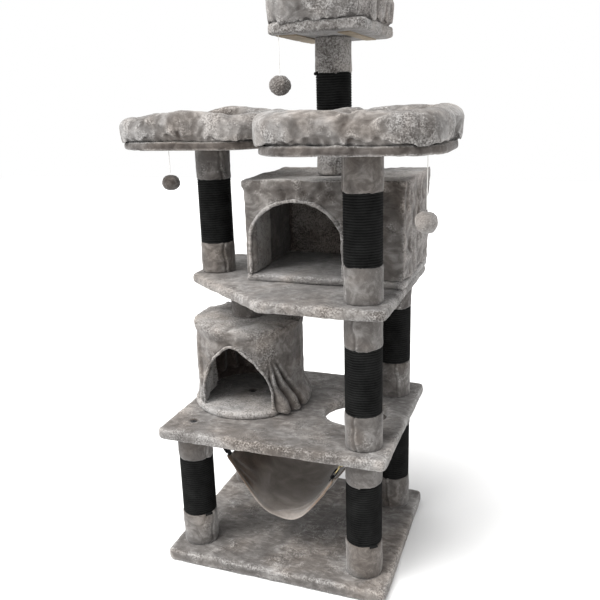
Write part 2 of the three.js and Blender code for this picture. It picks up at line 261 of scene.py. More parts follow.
def shade_by_shape(piece, extra, brown_and_shade=None):
    """Stores how raised each point is, from -1 in a crease to 1 on a ridge, plus `extra`, from which the
    materials paint shade in creases and light on ridges; `extra` mostly adds painted light and shade piece by
    piece. It also stores a brown value, mostly painted brown shade and in places the cloth's own brown.
    """
    mesh = piece.data
    points, normals = points_and_normals(piece)
    ends = np.empty(2 * len(mesh.edges), np.int32)
    mesh.edges.foreach_get("vertices", ends)
    ends = ends.reshape(-1, 2)

    def around(values):
        """The sum of the values at each point's neighbours."""
        total = np.zeros_like(values)
        for a, b in ((0, 1), (1, 0)):
            np.add.at(total, ends[:, a], values[ends[:, b]])
        return total

    count = np.maximum(around(np.ones(len(points))), 1)
    lift = np.einsum("ij,ij->i", points - around(points) / count[:, None], normals)
    size = np.abs(lift)
    for _ in range(3):
        lift = 0.5 * lift + 0.5 * around(lift) / count
    raised = np.clip(lift / max(np.percentile(size, 97), 1e-6), -1, 1)
    for key, values, low in (("raised", raised + extra, -1), ("brown_and_shade", brown_and_shade, 0)):
        if values is not None:
            values = np.clip(values, low, 1).astype(np.float32)
            mesh.attributes.new(key, "FLOAT", "POINT").data.foreach_set("value", values)


CLOTH_QUALITY = 6
CLOTH_STIFFNESS = 15


def simulate(piece, pinned, frames, cap, pressure=0.0, gravity=0.0, growth=0.0, bending=0.5):
    """Runs a cloth simulation, keeps its result and lets no point move further than `cap`."""
    start = points_of(piece)
    group = piece.vertex_groups.new(name="pinned")
    group.add([int(i) for i in pinned], 1.0, "REPLACE")
    modifier = piece.modifiers.new("cloth", "CLOTH")
    cloth = modifier.settings
    cloth.vertex_group_mass = "pinned"
    cloth.quality = CLOTH_QUALITY
    cloth.tension_stiffness = cloth.compression_stiffness = cloth.shear_stiffness = CLOTH_STIFFNESS
    cloth.bending_stiffness = bending
    cloth.use_pressure = pressure > 0
    cloth.uniform_pressure_force = pressure
    cloth.shrink_min = -growth
    cloth.effector_weights.gravity = gravity
    modifier.collision_settings.use_collision = False
    modifier.point_cache.frame_start, modifier.point_cache.frame_end = 1, frames
    for number in range(1, frames + 1):
        bpy.context.scene.frame_set(number)
    apply_modifiers(piece)
    bpy.context.scene.frame_set(1)
    moved = points_of(piece) - start
    length = np.linalg.norm(moved, axis=1)
    keep = np.minimum(1, cap / np.maximum(length, 1e-9))
    set_points(piece, start + moved * keep[:, None])
    piece.vertex_groups.clear()


def finished(piece, look, replaces=(), body="tree", tone=0.0, brown_and_shade=None):
    """Shades a piece, unless `tone` is None, and ties it to a body and the CAD nodes it replaces."""
    if tone is not None:
        shade_by_shape(piece, tone, brown_and_shade)
    piece.data.materials.clear()
    piece.data.materials.append(look)
    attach(piece, body)
    if replaces:
        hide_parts(*replaces)


# ---- materials ----


class Paint:
    """A material and the shader nodes that make it."""

    def __init__(self, name):
        self.material = bpy.data.materials.new(name)
        self.material.use_nodes = True
        self.tree = self.material.node_tree
        self.shader = self.tree.nodes["Principled BSDF"]
        self.place = self.node("TexCoord").outputs["Object"]

    def connect(self, target, inputs):
        for key, value in inputs.items():
            if isinstance(value, bpy.types.NodeSocket):
                self.tree.links.new(value, target.inputs[key])
            else:
                target.inputs[key].default_value = value

    def node(self, kind, inputs=None, **settings):
        made = self.tree.nodes.new("ShaderNode" + kind)
        for key, value in settings.items():
            setattr(made, key, value)
        self.connect(made, inputs or {})
        return made

    def noise(self, scale, detail=2.0, roughness=0.5, distortion=0.0):
        """Noise of one scale, or of one for each axis."""
        place = self.place
        if isinstance(scale, tuple):
            place, scale = self.node("Mapping", {"Vector": place, "Scale": scale}).outputs["Vector"], 1.0
        values = {"Vector": place, "Scale": scale, "Detail": detail, "Roughness": roughness}
        return self.node("TexNoise", {**values, "Distortion": distortion}).outputs["Fac"]

    def stored(self, name):
        return self.node("Attribute", attribute_name=name).outputs["Fac"]

    def spread(self, value, low, high, to_low=0.0, to_high=1.0):
        limits = {"Value": value, "From Min": low, "From Max": high, "To Min": to_low, "To Max": to_high}
        return self.node("MapRange", limits).outputs["Result"]

    def sums(self, first, *others):
        for other in others:
            first = self.node("Math", {0: first, 1: other}, operation="ADD").outputs[0]
        return first

    def times(self, first, second):
        return self.node("Math", {0: first, 1: second}, operation="MULTIPLY").outputs[0]

    def mix(self, factor, first, second, blend="MIX"):
        values = {0: factor, 6: first, 7: second}
        return self.node("Mix", values, data_type="RGBA", blend_type=blend).outputs[2]

    def surface(self, colour, height, strength, distance, inputs):
        """Joins the colour and the bump to the shader, sets its other inputs and gives the material."""
        bump = self.node("Bump", {"Height": height, "Strength": strength, "Distance": distance})
        self.connect(self.shader, {"Base Color": colour, "Normal": bump.outputs["Normal"], **inputs})
        return self.material


def plush(name, dark, middle, light):
    """Short pile: soft brushed clouds, crushed streaks, and curly tips that catch the light in patches."""
    paint = Paint(name)
    spread = paint.spread
    patches = paint.noise(27, 3, 0.55, 0.6)
    curls = paint.noise(240, 2, 0.75, 0.4)
    nap = paint.noise(620, 2, 0.6)
    raised = paint.stored("raised")
    curly = spread(paint.sums(paint.noise(17, 3, 0.6), spread(raised, -0.3, 0.9, -0.11, 0.2)), 0.46, 0.68)
    level = paint.sums(
        spread(paint.noise(8, 4, 0.55, 0.8), 0.34, 0.66, -0.2, 0.2),
        spread(patches, 0.34, 0.66, -0.09, 0.09),
        spread(paint.noise((20, 46, 30), 4, 0.6, 1.8), 0.38, 0.64, -0.12, 0.14),
        paint.times(curly, spread(curls, 0.38, 0.68, -0.3, 0.62)),
        spread(nap, 0.3, 0.7, -0.06, 0.06),
        # painted shade in creases and painted light on ridges, with each piece's painted light and shade from
        # the stored raised value
        spread(raised, -1, 1, 0.12, 0.78),
    )
    deep = paint.mix(spread(level, 0.0, 0.48), dark, middle)
    colour = paint.mix(spread(level, 0.46, 1.1), deep, light)
    warmth = spread(paint.noise(5.5, 3, 0.6, 0.5), 0.44, 0.64)
    tint = paint.mix(warmth, (1, 0.99, 0.98, 1), (1, 0.925, 0.86, 1))
    # painted brown shade, partly the cloth's own brown, from the stored brown value
    tint = paint.mix(paint.stored("brown_and_shade"), tint, (0.5, 0.41, 0.365, 1))
    height = paint.sums(
        spread(nap, 0, 1, 0, 0.4),
        paint.times(curls, spread(curly, 0, 1, 0.5, 2.2)),
        spread(patches, 0, 1, 0, 1.2),
    )
    gloss = {"Roughness": 0.95, "Specular IOR Level": 0.12, "Sheen Weight": 0.25, "Sheen Roughness": 0.5}
    return paint.surface(paint.mix(1.0, colour, tint, "MULTIPLY"), height, 0.9, 0.0018, gloss)


def velvet():
    """The hammock's smooth cloth: soft clouding and a close weave."""
    paint = Paint("velvet")
    nap = paint.noise(700, 2, 0.5)
    weave = paint.noise((1400, 500, 500), 1, 0.5)
    level = paint.sums(
        paint.spread(paint.noise(16, 4, 0.55, 0.7), 0.3, 0.7, -0.3, 0.3),
        paint.spread(nap, 0.3, 0.7, -0.06, 0.06),
        # painted shade in creases and painted light on ridges, with the hammock's painted light and shade
        paint.spread(paint.stored("raised"), -1, 1, 0.0, 0.9),
    )
    colour = paint.mix(level, (0.07, 0.055, 0.044, 1), (0.3, 0.275, 0.255, 1))
    # painted brown shade under the platform, over some brown of the cloth's own
    tint = paint.mix(paint.stored("brown_and_shade"), (1, 1, 1, 1), (0.62, 0.5, 0.4, 1))
    gloss = {"Roughness": 0.85, "Specular IOR Level": 0.2, "Sheen Weight": 0.5, "Sheen Roughness": 0.35}
    colour = paint.mix(1.0, colour, tint, "MULTIPLY")
    return paint.surface(colour, paint.sums(nap, weave), 0.5, 0.0006, gloss)


def fibre(name, dark, light, scale, distance=0.0006, gloss=0.3):
    """Twisted fibre: streaks that run along the wound rope, webbing or string."""
    paint = Paint(name)
    strands = paint.noise(scale, 4, 0.7, 0.4)
    level = paint.sums(
        paint.spread(strands, 0.3, 0.75, 0, 0.55),
        paint.spread(paint.noise(30, 3, 0.6), 0.3, 0.7, -0.1, 0.2),
        # painted shade in creases and grooves and painted light on ridges, from the stored raised value
        paint.spread(paint.stored("raised"), -1, 1, -0.25, 0.25),
    )
    colour = paint.mix(level, dark, light)
    return paint.surface(colour, strands, 0.9, distance, {"Roughness": 0.85, "Specular IOR Level": gloss})


def metal(name, dark, light, roughness, metallic):
    """Plated or painted metal with fine scratches and duller worn patches."""
    paint = Paint(name)
    worn = paint.noise(160, 4, 0.6)
    colour = paint.mix(paint.spread(worn, 0.35, 0.65), dark, light)
    gloss = paint.spread(worn, 0.3, 0.7, roughness - 0.08, roughness + 0.12)
    scratches = paint.noise((300, 300, 2600), 3, 0.6)
    return paint.surface(colour, scratches, 0.25, 0.0002, {"Roughness": gloss, "Metallic": metallic})


WOOD = fibre("wood", (0.17, 0.135, 0.095, 1), (0.3, 0.25, 0.18, 1), (18, 420, 420))
PLUSH = plush("plush", (0.036, 0.031, 0.028, 1), (0.112, 0.1045, 0.0995, 1), (0.335, 0.328, 0.321, 1))
PLUSH_LIGHT = plush("plush_light", (0.046, 0.04, 0.037, 1), (0.13, 0.124, 0.12, 1), (0.36, 0.353, 0.348, 1))
PLUSH_PALE = plush("plush_pale", (0.095, 0.088, 0.084, 1), (0.195, 0.189, 0.184, 1), (0.42, 0.413, 0.409, 1))
VELVET = velvet()
ROPE = fibre("rope", (0.0006, 0.0006, 0.0006, 1), (0.022, 0.0225, 0.022, 1), (260, 260, 1500), gloss=0.07)
WEBBING = fibre("webbing", (0.002, 0.002, 0.002, 1), (0.014, 0.014, 0.015, 1), (900, 900, 900))
STRING = fibre("string", (0.6, 0.59, 0.56, 1), (0.86, 0.85, 0.83, 1), (1800, 1800, 500), distance=0.0002)
BRASS = metal("brass", (0.3, 0.24, 0.11, 1), (0.6, 0.52, 0.3, 1), 0.34, 1.0)
BLACK_METAL = metal("black_metal", (0.012, 0.012, 0.012, 1), (0.035, 0.035, 0.037, 1), 0.45, 0.6)

make_camera()
make_studio()

# ---- strings and pom-poms ----

STRING_DIAMETER = 0.0018
PULLS = {  # the string's top and length, and the ball's width, depth and height, its cloth and its tone
    "top": ((-0.008, -0.038, 1.3393), 0.085, (0.052, 0.050, 0.050), PLUSH, 0.0),
    # the left ball's tone is painted shade
    "left": ((-0.295, -0.088, 1.0793), 0.054, (0.048, 0.042, 0.040), PLUSH, -1.2),
    "right": ((0.384, -0.250, 1.0793), 0.108, (0.048, 0.048, 0.048), PLUSH_PALE, 0.0),
}


def tuft_ball(name, centre, size, seed):
    """A stuffed plush ball, with soft ridges where its cover is gathered and a rough nap."""
    edit = bmesh.new()
    bmesh.ops.create_icosphere(edit, subdivisions=6, radius=1.0)
    ball = edited_piece(name, edit)
    smooth(ball.data)
    unit = points_of(ball)
    swell = 1 + 0.07 * noise(unit, 0.9, seed) + 0.035 * noise(unit, 0.3, seed + 1)
    swell += 0.03 * noise(unit, 0.1, seed + 2)
    swell -= 0.13 * dip(np.hypot(unit[:, 0], unit[:, 1]), 0.3) * (unit[:, 2] > 0)
    set_points(ball, centre + unit * swell[:, None] * np.array(size) / 2 * 0.97)
    return ball


for number, (side, (exit_point, length, size, look, tone)) in enumerate(PULLS.items()):
    x, y, top = exit_point
    curve = bpy.data.curves.new(f"{side}_string", "CURVE")
    curve.dimensions, curve.bevel_depth, curve.bevel_resolution = "3D", STRING_DIAMETER / 2, 3
    curve.use_fill_caps = True
    line = curve.splines.new("POLY")
    line.points.add(19)
    for point, drop in zip(line.points, np.linspace(0, length, 20)):
        point.co = (x, y, top - drop, 1)
    string = link(f"{side}_string_cord", curve)
    finished(string, STRING, [f"string_{side}"], f"{side}_string", tone=None)
    low, high = box(f"pompom_{side}")
    ball = tuft_ball(f"{side}_pompom_ball", (low + high) / 2, size, 11 * number + 3)
    finished(ball, look, [f"pompom_{side}"], f"{side}_pompom", tone)

# ---- covered boards and dens ----


def cover(
    name, sources, look, seed, voxel=0.005, smoothing=3, lumps=0.0011, shape=None, replaces=None
):
    """A plush cover over solids: CAD nodes by name, boxes as (low, high), or functions that add to it.

    It replaces its sources unless told otherwise."""
    edit = bmesh.new()
    for source in sources:
        if isinstance(source, str):
            edit.from_mesh(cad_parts[source].data)
        elif callable(source):
            source(edit)
        else:
            low, high = (np.array(corner) for corner in source)
            add_box(edit, (low + high) / 2, high - low)
    piece = edited_piece(name, edit)
    remesh(piece, voxel, smoothing)
    points, normals = points_and_normals(piece)
    swell = lumps * (noise(points, 0.045, seed) + 0.6 * noise(points, 0.014, seed + 1))
    swell += 0.5 * lumps * noise(points, 0.006, seed + 2)
    moved = points + normals * swell[:, None]
    tone, brown_and_shade = 0.0, None
    if shape:
        moved, tone, brown_and_shade = shape(points, normals, moved)
    set_points(piece, moved)
    finished(piece, look, replaces or sources, tone=tone, brown_and_shade=brown_and_shade)


def recess(points, bolt):
    """How far each point is in the dark of a bolt's recess, from 0 to 1."""
    low, high = box(bolt)
    away = np.hypot(*(points - (low + high) / 2)[:, :2].T)
    return step(0.0125 - away, 0, 0.005) * (points[:, 2] > high[2] - 0.012)


def platform_shape(points, normals, moved):
    dark = np.maximum(recess(points, "bolt_front_left"), recess(points, "bolt_back_left"))
    # painted shade, dark and brown, in the bolts' recesses
    return moved, -2.0 * dark, dark


cover("base_board_cover", ["base_board"], PLUSH, 20)
cover("middle_platform_cover", ["middle_platform"], PLUSH, 25, shape=platform_shape)
cover("upper_platform_cover", ["upper_platform"], PLUSH, 30)


def sweep(name, path, up, section, closed=False, scale=None):
    """A closed skin along a path. `section` is across and up in metres, and `up` is one or many vectors."""
    path, section = np.asarray(path, float), np.asarray(section, float)
    if closed:
        along = np.roll(path, -1, axis=0) - np.roll(path, 1, axis=0)
    else:
        along = np.gradient(path, axis=0)
    along /= np.linalg.norm(along, axis=1)[:, None]
    side = np.cross(along, np.broadcast_to(up, path.shape))
    side /= np.linalg.norm(side, axis=1)[:, None]
    over = np.cross(side, along)
    scale = np.ones(len(path)) if scale is None else np.asarray(scale)
    reach = section[None] * scale[:, None, None]
    points = path[:, None] + reach[:, :, :1] * side[:, None] + reach[:, :, 1:] * over[:, None]
    return tube(name, points, closed)


def circle(radius, sides=12):
    return turned((0, 0), radius, full_turn(sides), 0)[:, :2]


def joined(name, pieces):
    """One object made of several closed skins."""
    edit = bmesh.new()
    for piece in pieces:
        edit.from_mesh(piece.data)
        bpy.data.objects.remove(piece)
    return edited_piece(name, edit)


def rounded_path(x, y, width, depth, corner, spacing):
    """Even points round a rounded rectangle, with the outward direction at each."""
    points, outs = [], []
    for quarter, (sx, sy) in enumerate(((1, 1), (-1, 1), (-1, -1), (1, -1))):
        centre = np.array([x + sx * (width / 2 - corner), y + sy * (depth / 2 - corner)])
        out = turned((0, 0), 1, np.linspace(quarter, quarter + 1, 25) * np.pi / 2, 0)[:, :2]
        points.append(centre + corner * out)
        outs.append(out)
    points, outs = (np.concatenate([*rows, rows[0][:1]]) for rows in (points, outs))
    length = np.concatenate([[0], np.cumsum(np.linalg.norm(np.diff(points, axis=0), axis=1))])
    even = np.linspace(0, length[-1], int(length[-1] / spacing), endpoint=False)
    even_points, even_outs = (
        np.stack([np.interp(even, length, values[:, k]) for k in (0, 1)], axis=1) for values in (points, outs)
    )
    return even_points, even_outs / np.linalg.norm(even_outs, axis=1)[:, None]


# ---- posts, rope and bolts ----

POST_COLUMNS = 96
POST_BORE = 0.037
POST_GROOVE = 0.041
POST_ROW = 0.005
SEAM_SIDES = dict(  # degrees round from +X, where a sleeve's sewn seam shows
    front_left=-20, front_right=-160, back_right=-100, back_left=60, middle_front=-104,
    middle_back=-70, middle_short=-150, upper_left=-40, upper_right=-150, top=-10,
)


def sleeve(low, high, radius, low_ragged, high_ragged):
    """Rows of (radius, height) up a plush sleeve. A ragged end meets rope and is rolled under."""
    rows = max(4, int((high - low).mean() / POST_ROW))
    made = []
    for part in np.linspace(0, 1, rows):
        height = low + part * (high - low)
        edge = 0.0016 * dip(height - low, 0.003) + 0.0016 * dip(high - height, 0.003)
        made.append((radius - edge, height))
    if low_ragged:
        made.insert(0, (POST_GROOVE + 0 * low, low + 0.0008))
    if high_ragged:
        made.append((POST_GROOVE + 0 * high, high - 0.0008))
    return made


def make_post(name, seed):
    low, high, centre = placed(f"post_{name}")
    bottom, top = low[2], high[2]
    radius = (high[0] - low[0]) / 2
    angle = full_turn(POST_COLUMNS)
    round_path = turned((0, 0), 1, angle, 0)
    flat = np.zeros(POST_COLUMNS)
    rows = [(POST_BORE + flat, bottom + flat)]
    if f"rope_{name}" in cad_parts:
        rope_low, rope_high = (corner[2] for corner in box(f"rope_{name}"))
        low_fray, high_fray = (
            0.0022 * noise(round_path, 0.45, seed + k) + 0.0012 * noise(round_path, 0.13, seed + k + 2)
            for k in (0, 1)
        )
        rows += sleeve(bottom + flat, rope_low + low_fray + 0.001, radius, False, True)
        rows += sleeve(rope_high + high_fray - 0.001, top + flat, radius, True, False)
    else:
        rows += sleeve(bottom + flat, top + flat, radius, False, False)
    rows.append((POST_BORE + flat, top + flat))
    around, heights = (np.array([row[k] for row in rows]) for k in (0, 1))
    points = turned(centre, around, angle, heights).reshape(-1, 3)
    run = np.broadcast_to(angle, around.shape).ravel()
    swell = 0.0009 * noise(points, 0.03, seed + 5) + 0.0005 * noise(points, 0.01, seed + 6)
    drift = 0.0035 * np.sin(points[:, 2] / 0.021 + seed) + 0.002 * np.sin(points[:, 2] / 0.009)
    seam = (run - math.radians(SEAM_SIDES[name]) + np.pi) % (2 * np.pi) - np.pi
    seam = seam * radius + drift
    swell += 0.001 * dip(seam, 0.009) - 0.0036 * dip(seam, 0.0026)
    swell *= around.ravel() > POST_GROOVE + 0.001
    points[:, :2] += np.stack([np.cos(run), np.sin(run)], axis=1) * swell[:, None]
    post = tube(f"post_{name}_sleeve", points.reshape(*around.shape, 3), closed=True)
    # a lighter line beside the seam and painted shade in its groove
    tone = 0.5 * dip(seam - 0.006, 0.004) - 0.5 * dip(seam, 0.002)
    # painted light on the top post, in the nest's shade, and painted shade on the other posts
    tone += 1.0 if name == "top" else -0.2
    finished(post, PLUSH, [f"post_{name}"], tone=tone)


ROPE_PITCH = 0.0062
ROPE_RIDGE = 0.0027
ROPE_COLUMNS = 84
ROPE_TWISTS = 31


def make_rope(name, seed):
    """Rope wound round a post: a helix of round turns with the strands' twist."""
    low, high, centre = placed(f"rope_{name}")
    radius = (high[0] - low[0]) / 2
    angle = full_turn(ROPE_COLUMNS)
    heights = np.linspace(low[2], high[2], int((high[2] - low[2]) / ROPE_PITCH * 7))
    z, a = np.meshgrid(heights, angle, indexing="ij")
    round_path = turned((0, 0), 1, a, z / 0.1).reshape(-1, 3)
    wander = 0.16 * noise(round_path, 0.6, seed + 40).reshape(z.shape)
    phase = ((z - low[2]) / ROPE_PITCH - a / (2 * np.pi) + wander) % 1
    ridge = np.sqrt(np.clip(1 - (2 * phase - 1) ** 2, 0, 1))
    twist = 0.00028 * np.sin(ROPE_TWISTS * a + 2 * np.pi * phase)
    r = radius + 0.0004 - ROPE_RIDGE + ROPE_RIDGE * ridge + twist * ridge
    points = turned(centre, r, a, z)
    rough = noise(points.reshape(-1, 3), 0.012, seed).reshape(r.shape)
    points[:, :, 2] += 0.0004 * rough
    ends = []
    for end, row in ((low[2], 0), (high[2], -1)):
        points[row, :, 2] = end
        ends.append(turned(centre, POST_GROOVE + 0.0003, angle, end)[None])
    points = np.concatenate([ends[0], points, ends[1]])
    rope = tube(f"rope_{name}_winding", points, closed=True)
    # painted shade in the grooves between turns and at the winding's ends; the ridges get painted light
    end = np.full((1, ROPE_COLUMNS), 1.0)
    groove = np.concatenate([end, 1.3 * (1 - ridge) ** 0.7, end])
    finished(rope, ROPE, [f"rope_{name}"], tone=0.3 - groove.ravel())


for number, name in enumerate(SEAM_SIDES):
    make_post(name, 100 + 11 * number)
    if f"rope_{name}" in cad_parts:
        make_rope(name, 300 + number)

ROPE_END_OUT = 0.0465  # from the post's axis
ROPE_END_RADIUS = 0.0033
ROPE_ENDS = {  # post: degrees where the loose end starts and stops, and whether it is at the top
    "top": (-152, -132, True),
    "front_left": (-44, -20, False),
    "front_right": (-58, -32, False),
}
for name, (start, stop, at_top) in ROPE_ENDS.items():
    low, high, centre = placed(f"rope_{name}")
    height = high[2] - 0.0015 if at_top else low[2] + 0.0005
    angle = np.radians(np.linspace(start, stop, 24))
    out = ROPE_END_OUT + 0.0008 * np.sin(np.linspace(0, np.pi, 24))
    drop = (0.002 if at_top else -0.002) * np.linspace(0, 1, 24) ** 2
    taper = 1 + 0.25 * dip(np.linspace(0, 1, 24), 0.15) + 0.08 * np.sin(np.linspace(0, 30, 24))
    path = turned(centre, out, angle, height + drop)
    end = sweep(f"rope_{name}_end", path, (0, 0, 1), circle(ROPE_END_RADIUS), scale=taper)
    finished(end, ROPE)


def turned_piece(name, centre, profile, sides=36, hexes=()):
    """A closed profile of (radius, height) turned about an upright line. Rows in `hexes` are six-sided."""
    angle = full_turn(sides)
    flat = math.cos(math.radians(30)) / np.cos((angle + np.pi / 6) % (np.pi / 3) - np.pi / 6)
    rows = []
    for number, (radius, height) in enumerate(profile):
        rows.append(turned(centre, radius * (flat if number in hexes else np.ones(sides)), angle, height))
    return tube(name, rows, rounded=False)


BOLT_THREAD = (0.0041, 0.0037)  # radii of its crests and roots
# the radius of its head and its socket, with the depth below the top
BOLT_HEAD = ((0.0066, 0.005), (0.007, 0.0045), (0.007, 0.0015), (0.0066, 0.0004), (0.0058, 0))
BOLT_SOCKET = ((0.0034, 0), (0.0032, 0.0004), (0.0031, 0.0028))

for name in ("front_left", "back_left", "round_den"):
    low, high, centre = placed(f"bolt_{name}")
    bottom, top = low[2], high[2]
    heights = np.linspace(bottom, top - 0.0052, 29)
    thread = [(BOLT_THREAD[turn % 2], height) for turn, height in enumerate(heights)]
    head = [(radius, top - below) for radius, below in BOLT_HEAD + BOLT_SOCKET]
    profile = [(0.003, bottom), *thread, *head]
    hexes = range(len(profile) - len(BOLT_SOCKET), len(profile))
    bolt = turned_piece(f"bolt_{name}_screw", centre, profile, hexes=hexes)
    finished(bolt, BLACK_METAL, [f"bolt_{name}"])

# ---- round den ----

ROUND = np.array([-0.150, 0.028])
ROUND_RADIUS = 0.150
ROUND_FLOOR = 0.4003
ROUND_EAVES = 0.602
ROUND_DOOR_TURN = math.radians(4)
ROUND_DOOR = (0.098, 0.450, 0.584, 1.5)  # half width, heights of spring line and crown, and fullness
ROUND_LINING = (-0.1065, -0.066)  # from the den's axis, before the door's turn
ROUND_LINING_SIZE = (0.014, 0.092)
ROUND_JOINT = {"radius1": 0.146, "radius2": 0.146, "depth": 0.012}
FOLDS_FROM = (-0.131, 0.176)  # where the folds start: along the wall from +X, and above the floor
FOLDS = (7, 19, 31)  # degrees from straight down, in which the creases run


def about_round_den(points):
    """Place, distance and angle from its axis, and where its cloth hangs over the floor's edge."""
    rel = points[:, :2] - ROUND
    around = np.arctan2(rel[:, 1], rel[:, 0])
    hangs = step(around, -0.86, -0.6) * step(2.3 - around, 0, 0.5)
    return rel, np.hypot(rel[:, 0], rel[:, 1]), around, hangs


def round_den_shape(points, normals, moved):
    """One cloth over roof and wall, with tubular folds that fan out from the door's right edge."""
    rel, r, around, hangs = about_round_den(points)
    out = np.stack([rel[:, 0] / r, rel[:, 1] / r, 0 * r], axis=1)
    top = normals[:, 2] > 0.5
    outer = ((np.einsum("ij,ij->i", out, normals) > 0.3) & (r > ROUND_RADIUS - 0.009)) * 1.0
    inner = ((r < ROUND_RADIUS - 0.015) & ~(top & (points[:, 2] > ROUND_EAVES))) * 1.0
    up = points[:, 2] - ROUND_FLOOR
    across, drop = ROUND_RADIUS * around - FOLDS_FROM[0], FOLDS_FROM[1] - up
    far = np.hypot(across, drop)
    ray = np.degrees(np.arctan2(across, drop)) + 3 * noise(points, 0.06, 61)
    fan = step(far, 0.03, 0.1) * step(ray, 3, 8) * step(40 - ray, 0, 8) * (drop > -0.03)
    crease = sum(dip(ray - at, 3.2) for at in FOLDS)
    round_fold = np.sqrt(np.abs(np.sin(np.pi * (ray - FOLDS[0]) / 12)))
    change = outer * fan * (0.0105 * round_fold - 0.0045 - 0.006 * crease)
    skirt = hangs * step(r, 0.138, 0.147) * (normals[:, 2] < 0.5)
    change += skirt * (0.017 * step(0.055 - up, 0, 0.06) - 0.002)
    moved[:, 2] -= skirt * 0.0135 * step(0.02 - up, 0, 0.018)
    pleats = np.sin(around * 17 + 2.2 * noise(points, 0.09, 62)) * step(around, -0.9, 0.2)
    change += outer * (1 - fan) * 0.0022 * pleats * step(ROUND_EAVES - points[:, 2], 0, 0.05)
    change += outer * (0.005 * step(0.05 - up, 0, 0.05) + 0.003 * noise(points, 0.1, 63))
    change -= outer * 0.0022 * dip(points[:, 2] - ROUND_EAVES + 0.012, 0.009) * step(-around, 0.7, 1.6)
    gathers = 0.005 * np.sin(19 * around + 3 * noise(points, 0.08, 64)) * inner * (up > 0.03)
    moved = moved + out * (change - gathers)[:, None]
    edge = step(r, 0.095, 0.15)
    fold = np.sin(13 * around + 2.5 * noise(points, 0.09, 66)) + 0.5 * np.sin(29 * around)
    swirl = np.sin(5 * around + r / 0.02) * step(r, 0.05, 0.09) * (1 - edge)
    top = top & (points[:, 2] > ROUND_EAVES)
    moved[:, 2] += top * (0.0034 * swirl + 0.0026 * edge * fold - 0.002 * edge)
    jamb = (rel[:, 0] < -0.088) & (points[:, 1] < ROUND[1] - 0.012) & (r < ROUND_RADIUS - 0.006)
    # painted shade in the fold creases and painted highlights on the folds; painted light on the lining by
    # the door's left jamb
    extra = -0.9 * outer * fan * np.clip(crease, 0, 1) + 0.15 * outer * fan * round_fold + 1.5 * jamb
    # painted light on the roof top, with highlights on its folds and swirl, and painted shade on the right
    # side
    extra += top * (0.95 + 0.3 * edge * fold + 0.2 * swirl) - 0.12 * outer * step(around, -0.9, 0.1)
    # painted brown shade inside the den and on its right side
    brown_and_shade = 0.85 * inner * (1 - jamb) + 0.3 * outer * step(around, -0.8, 0.0)
    return moved, extra, brown_and_shade


def round_floor_shape(points, normals, moved):
    """Drawn in where the wall's cloth hangs over its edge, with painted light at its front by the door and
    painted shade in the bolt's recess.
    """
    rel, r, _, hangs = about_round_den(points)
    drawn = 1 - hangs * 0.012 * step(r, 0.14, 0.155) / np.maximum(r, 0.01)
    moved[:, :2] = ROUND + (moved[:, :2] - ROUND) * drawn[:, None]
    dark = recess(points, "bolt_round_den")
    front = step(-rel[:, 1], 0.02, 0.1)
    return moved, 0.75 * front - 2.4 * dark, dark


def round_den_joining(edit):
    """Fills the joint between the wall and the roof, and adds the lining behind the door's left jamb."""
    place = Matrix.Translation((*ROUND, ROUND_EAVES))
    bmesh.ops.create_cone(edit, cap_ends=True, matrix=place, segments=64, **ROUND_JOINT)
    turn = Matrix.Translation((*ROUND, 0)) @ Matrix.Rotation(ROUND_DOOR_TURN, 4, "Z")
    centre = (*ROUND_LINING, (ROUND_FLOOR + ROUND_EAVES) / 2 + 0.005)
    add_box(edit, centre, (*ROUND_LINING_SIZE, ROUND_EAVES - ROUND_FLOOR - 0.014), turn)


nodes = ["round_den_wall", "round_den_roof"]
sources = [*nodes, round_den_joining]
cover("round_den_cover", sources, PLUSH, 60, 0.0042, 4, shape=round_den_shape, replaces=nodes)
nodes = ["round_den_floor"]
cover("round_den_floor_cover", nodes, PLUSH_LIGHT, 80, 0.0045, 2, shape=round_floor_shape)


def arch_path(half, foot, spring, crown, fullness=2, count=90):
    """Across and up along a door's edge, from its left foot over its crown to its right foot."""
    turn = np.linspace(np.pi, 0, count)
    side = np.linspace(foot, spring, 24)[:-1]
    arc = np.sign(np.cos(turn)) * np.abs(np.cos(turn)) ** (2 / fullness)
    rise = np.abs(np.sin(turn)) ** (2 / fullness)
    across = np.concatenate([0 * side - half, half * arc, 0 * side + half])
    up = np.concatenate([side, spring + (crown - spring) * rise, side[::-1]])
    return across, up


def door_edging(name, path, up, radius, seed):
    """The thick raw edge of plush round a doorway."""
    path = path + 0.0015 * np.stack([noise(path, 0.02, seed + k) for k in range(3)], axis=1)
    scale = 1 + 0.22 * noise(path, 0.012, seed + 4) + 0.16 * noise(path, 0.005, seed + 5)
    edging = sweep(name, path, up, circle(radius, 18), scale=scale)
    finished(edging, PLUSH_LIGHT, tone=0.3)


half, spring, crown, fullness = ROUND_DOOR
across, up = arch_path(half - 0.001, ROUND_FLOOR + 0.003, spring, crown - 0.001, fullness)
deep = -np.sqrt((ROUND_RADIUS - 0.001) ** 2 - across**2)
cosine, sine = math.cos(ROUND_DOOR_TURN), math.sin(ROUND_DOOR_TURN)
x = ROUND[0] + cosine * across - sine * deep
y = ROUND[1] + sine * across + cosine * deep
outs = np.stack([x - ROUND[0], y - ROUND[1], 0 * up], axis=1)
door_edging("round_den_door_edging", np.stack([x, y, up], axis=1), outs, 0.0036, 90)

# ---- box den ----

LINING_END = 0.07  # how far back the left wall's lining reaches; the lining is painted light
BOX_DOOR = (0.125, 0.85, 0.954)  # half width, and heights of spring line and crown
BOX_DOOR_X = 0.022


